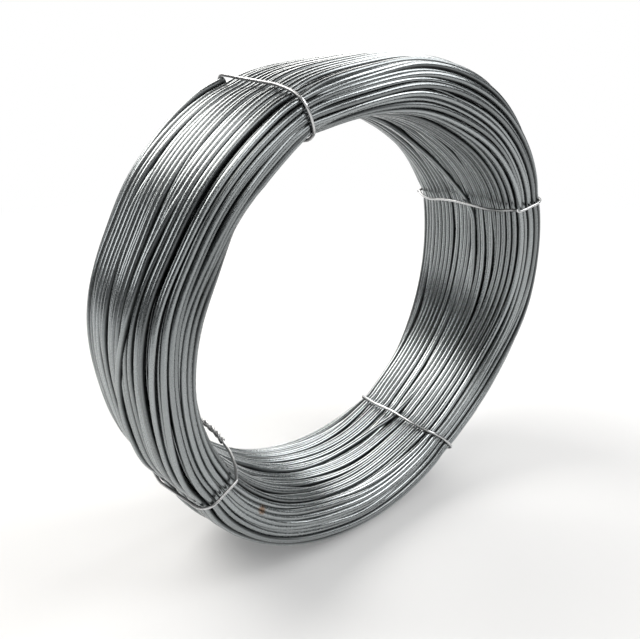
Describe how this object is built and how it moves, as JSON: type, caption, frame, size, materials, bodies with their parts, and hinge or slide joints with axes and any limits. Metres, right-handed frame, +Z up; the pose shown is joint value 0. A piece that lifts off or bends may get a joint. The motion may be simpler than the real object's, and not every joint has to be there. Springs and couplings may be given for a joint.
{
  "type": "coil of aluminium wire",
  "caption": "Coil of round aluminium wire wound in one length, held by four thin tie wires.",
  "frame": {"origin": "on the floor, under the middle of the coil", "axes": "+Y along the coil's axis towards its far end, +Z up"},
  "size_m": [0.294, 0.0988, 0.294],
  "materials": {
    "coil_wire": "drawn, dull bright",
    "tie_wire": "drawn, bright"
  },
  "bodies": {
    "root": {"coil": "coil_wire", "tie_1": "tie_wire", "tie_2": "tie_wire", "tie_3": "tie_wire", "tie_4": "tie_wire"}
  },
  "joints": []
}
